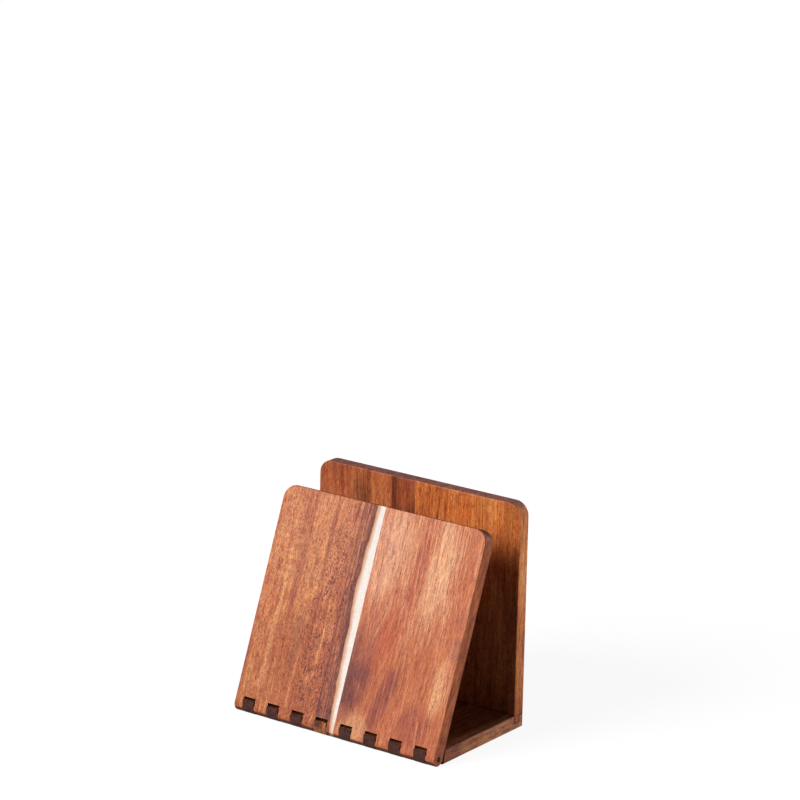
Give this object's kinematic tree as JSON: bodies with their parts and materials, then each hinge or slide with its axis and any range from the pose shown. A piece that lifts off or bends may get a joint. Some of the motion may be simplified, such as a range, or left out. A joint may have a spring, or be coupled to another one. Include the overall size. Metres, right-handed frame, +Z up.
{
  "type": "napkin holder",
  "caption": "Upright napkin holder of oiled wooden boards: flat base, fixed rear panel and a front flap that leans back on a finger hinge with a through pin.",
  "frame": {"origin": "under the middle of the base, on the surface that the holder stands on", "axes": "+X to the right along the width of the boards, +Y from the hinged flap to the fixed rear panel, +Z up"},
  "size_m": [0.17, 0.103, 0.16],
  "materials": {
    "acacia_base": "oiled acacia, satin",
    "acacia_base_middle": "oiled acacia, lighter stave, satin",
    "acacia_rear": "oiled acacia, satin",
    "acacia_rear_middle": "oiled acacia, darker stave, satin",
    "acacia_flap_left": "oiled acacia with a pale sapwood band, satin",
    "acacia_flap_right": "oiled acacia, reddish, satin",
    "pin_wood": "dark hardwood dowel, end grain"
  },
  "bodies": {
    "base": {"base_stave_left": "acacia_base", "base_stave_middle": "acacia_base_middle", "base_stave_right": "acacia_base", "rear_stave_left": "acacia_rear", "rear_stave_middle": "acacia_rear_middle", "rear_stave_right": "acacia_rear"},
    "flap": {"flap_stave_left": "acacia_flap_left", "flap_stave_right": "acacia_flap_right", "hinge_pin": "pin_wood"}
  },
  "joints": [
    {"name": "flap_hinge", "type": "hinge", "parent": "base", "child": "flap", "pos_m": [0, -0.0464, 0.0051], "axis": [1, 0, 0], "range_deg": [0, 110]}
  ]
}
